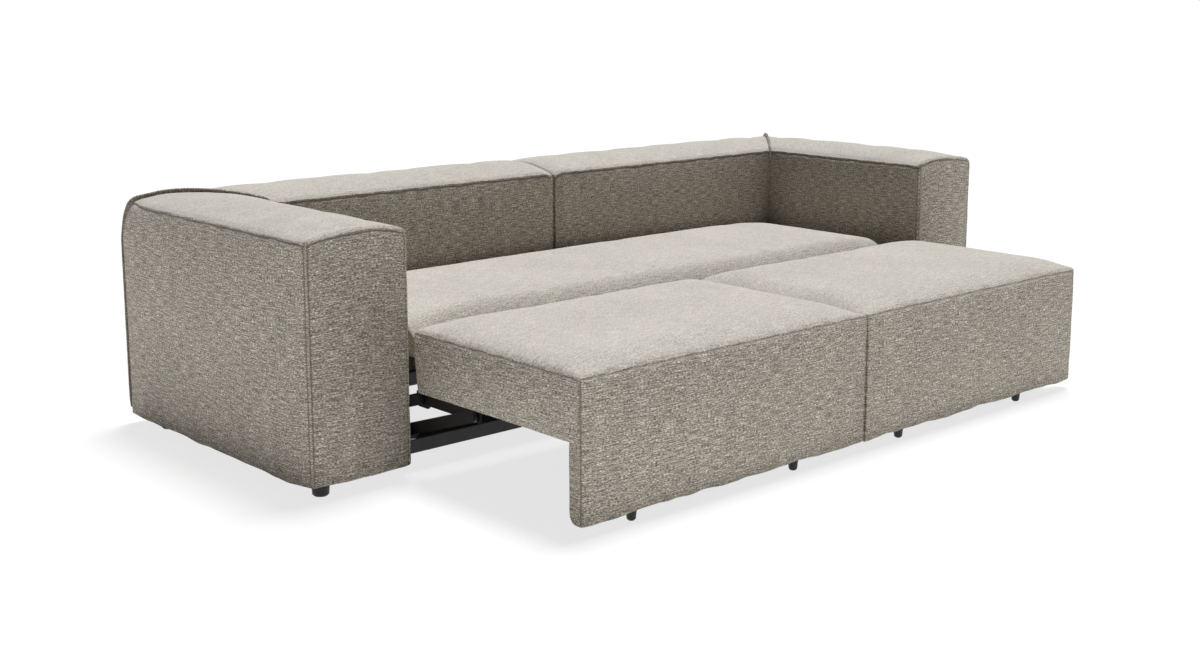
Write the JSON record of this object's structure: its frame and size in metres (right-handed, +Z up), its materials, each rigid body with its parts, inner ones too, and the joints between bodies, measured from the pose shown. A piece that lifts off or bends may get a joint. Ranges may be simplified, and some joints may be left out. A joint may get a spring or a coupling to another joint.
{
  "type": "sleeper sofa",
  "caption": "Low upholstered sofa whose seat blocks walk forward on links while a padded strip rises behind them, making a flat bed between thick arms and back.",
  "frame": {"origin": "centre of the opened sofa's outline, on the floor", "axes": "+X across the sofa to the right as seen from the front, +Y from the front to the back, +Z up"},
  "size_m": [2.666, 1.589, 0.664],
  "materials": {
    "upholstery_fabric": "matt melange weave in taupe grey with light and dark flecks",
    "timber": "plain sawn softwood and plywood",
    "black_steel": "satin black powder coat",
    "zinc_plate": "bright zinc plated",
    "black_plastic": "black moulded plastic"
  },
  "bodies": {
    "base": {"left_arm_cover": "upholstery_fabric", "right_arm_cover": "upholstery_fabric", "left_back_cover": "upholstery_fabric", "right_back_cover": "upholstery_fabric", "left_arm_carcass": "timber", "right_arm_carcass": "timber", "left_back_carcass": "timber", "right_back_carcass": "timber", "left_arm_base_board": "timber", "right_arm_base_board": "timber", "left_back_base_board": "timber", "right_back_base_board": "timber", "left_front_foot": "black_plastic", "right_front_foot": "black_plastic", "left_rear_foot": "black_plastic", "right_rear_foot": "black_plastic", "left_back_foot": "black_plastic", "right_back_foot": "black_plastic", "left_side_rail": "black_steel", "right_side_rail": "black_steel", "front_rail": "black_steel", "rear_rail": "black_steel", "left_rail_gusset": "zinc_plate", "right_rail_gusset": "zinc_plate", "left_front_upright": "black_steel", "left_rear_upright": "black_steel", "right_front_upright": "black_steel", "right_rear_upright": "black_steel"},
    "front_seat_links": {"left_front_seat_link": "black_steel", "right_front_seat_link": "black_steel"},
    "rear_seat_links": {"left_rear_seat_link": "black_steel", "right_rear_seat_link": "black_steel"},
    "seats": {"left_seat_cushion": "upholstery_fabric", "right_seat_cushion": "upholstery_fabric", "left_seat_apron": "upholstery_fabric", "right_seat_apron": "upholstery_fabric", "left_apron_board": "timber", "right_apron_board": "timber", "left_seat_board": "timber", "right_seat_board": "timber", "seat_front_beam": "black_steel", "seat_middle_beam": "black_steel", "seat_rear_beam": "black_steel", "left_seat_rail": "black_steel", "right_seat_rail": "black_steel", "left_block_left_foot": "black_plastic", "left_block_right_foot": "black_plastic", "right_block_left_foot": "black_plastic", "right_block_right_foot": "black_plastic"},
    "front_strip_links": {"left_front_strip_link": "black_steel", "right_front_strip_link": "black_steel"},
    "rear_strip_links": {"left_rear_strip_link": "black_steel", "right_rear_strip_link": "black_steel"},
    "strip": {"strip_cushion": "upholstery_fabric", "strip_board": "timber", "left_strip_rail": "black_steel", "right_strip_rail": "black_steel", "strip_front_batten": "black_steel", "strip_rear_batten": "black_steel"}
  },
  "joints": [
    {"name": "seat_walk", "type": "hinge", "parent": "base", "child": "front_seat_links", "pos_m": [0, -0.08951, 0.1034], "axis": [-1, 0, 0], "range_deg": [0, 142.99]},
    {"name": "seat_level", "type": "hinge", "parent": "front_seat_links", "child": "seats", "pos_m": [0, -0.38951, 0.2038], "axis": [1, 0, 0], "range_deg": [0, 142.99]},
    {"name": "rear_link_swing", "type": "hinge", "parent": "base", "child": "rear_seat_links", "pos_m": [0, 0.13049, 0.1034], "axis": [-1, 0, 0], "range_deg": [0, 142.99]},
    {"name": "strip_link_swing", "type": "hinge", "parent": "base", "child": "front_strip_links", "pos_m": [0, -0.06251, 0.169], "axis": [-1, 0, 0], "range_deg": [0, 49.2]},
    {"name": "strip_level", "type": "hinge", "parent": "front_strip_links", "child": "strip", "pos_m": [0, 0.14513, 0.26405], "axis": [1, 0, 0], "range_deg": [0, 49.2]},
    {"name": "rear_strip_link_swing", "type": "hinge", "parent": "base", "child": "rear_strip_links", "pos_m": [0, 0.21085, 0.169], "axis": [-1, 0, 0], "range_deg": [0, 49.2]}
  ],
  "couplings": [
    {"joint": "seat_level", "follows": "seat_walk", "ratio": 1},
    {"joint": "rear_link_swing", "follows": "seat_walk", "ratio": 1},
    {"joint": "strip_link_swing", "follows": "seat_walk", "ratio": 0.34403},
    {"joint": "strip_level", "follows": "seat_walk", "ratio": 0.34403},
    {"joint": "rear_strip_link_swing", "follows": "seat_walk", "ratio": 0.34403}
  ]
}
